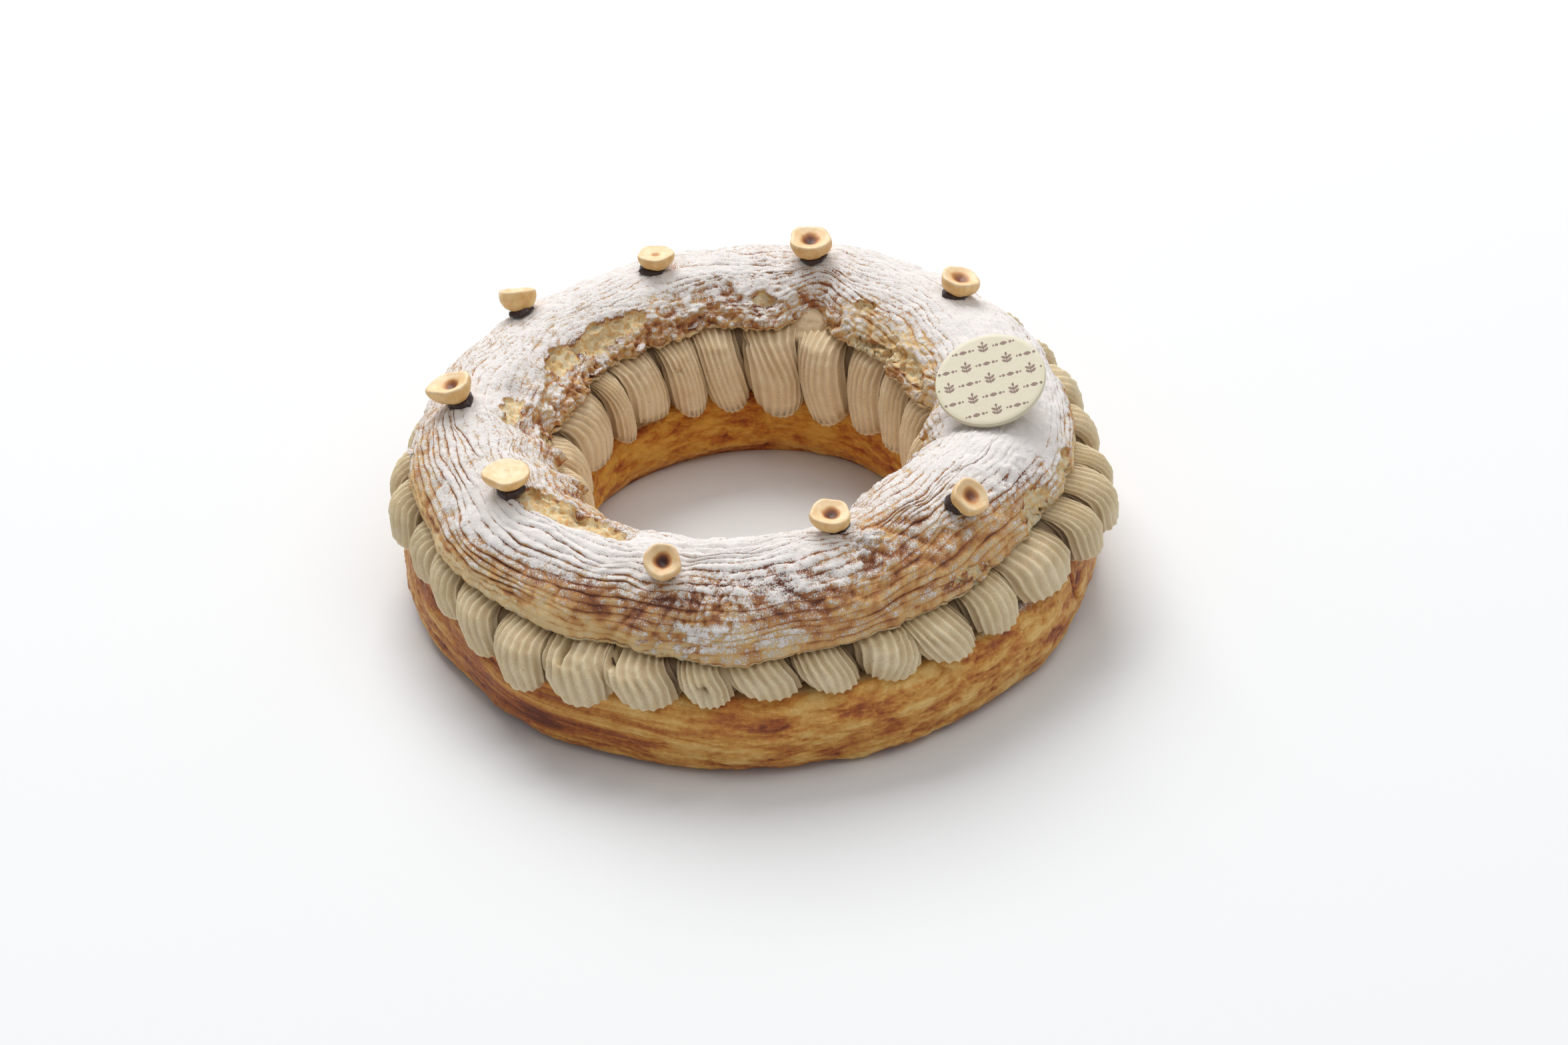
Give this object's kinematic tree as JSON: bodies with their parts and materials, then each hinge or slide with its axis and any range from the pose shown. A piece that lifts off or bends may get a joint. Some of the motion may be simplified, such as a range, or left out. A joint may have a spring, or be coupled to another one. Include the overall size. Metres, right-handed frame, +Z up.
{
  "type": "paris-brest pastry",
  "caption": "Ring of choux pastry with a central hole, cut level and filled with two rows of piped praline shells; its sugared lid carries hazelnut halves and a round chocolate tag.",
  "frame": {"origin": "middle of the ring's footprint on the surface it stands on, at the centre of the hole", "axes": "+Z up through the hole, -Y towards the side that faces the viewer, +X towards the chocolate disc"},
  "size_m": [0.2298, 0.2257, 0.0788],
  "materials": {
    "choux_base": "baked choux crust, golden brown, dry with a faint sheen, fine streaks",
    "praline_cream": "smooth piped butter cream, soft sheen, nut specks",
    "choux_lid": "craggy baked crust under a dusting of icing sugar, fully matte",
    "hazelnut": "blanched nut, satin",
    "dark_chocolate": "set dark chocolate, satin to glossy",
    "white_chocolate": "thin moulded white chocolate with a faint printed pattern, satin"
  },
  "bodies": {
    "root": {"base_choux": "choux_base", "praline_cream": "praline_cream", "lid_choux": "choux_lid", "hazelnut_1": "hazelnut", "hazelnut_2": "hazelnut", "hazelnut_3": "hazelnut", "hazelnut_4": "hazelnut", "hazelnut_5": "hazelnut", "hazelnut_6": "hazelnut", "hazelnut_7": "hazelnut", "hazelnut_8": "hazelnut", "hazelnut_9": "hazelnut", "chocolate_dab_1": "dark_chocolate", "chocolate_dab_2": "dark_chocolate", "chocolate_dab_3": "dark_chocolate", "chocolate_dab_4": "dark_chocolate", "chocolate_dab_5": "dark_chocolate", "chocolate_dab_6": "dark_chocolate", "chocolate_dab_7": "dark_chocolate", "chocolate_dab_8": "dark_chocolate", "chocolate_dab_9": "dark_chocolate", "chocolate_dab_10": "dark_chocolate", "white_chocolate_disc": "white_chocolate"}
  },
  "joints": []
}
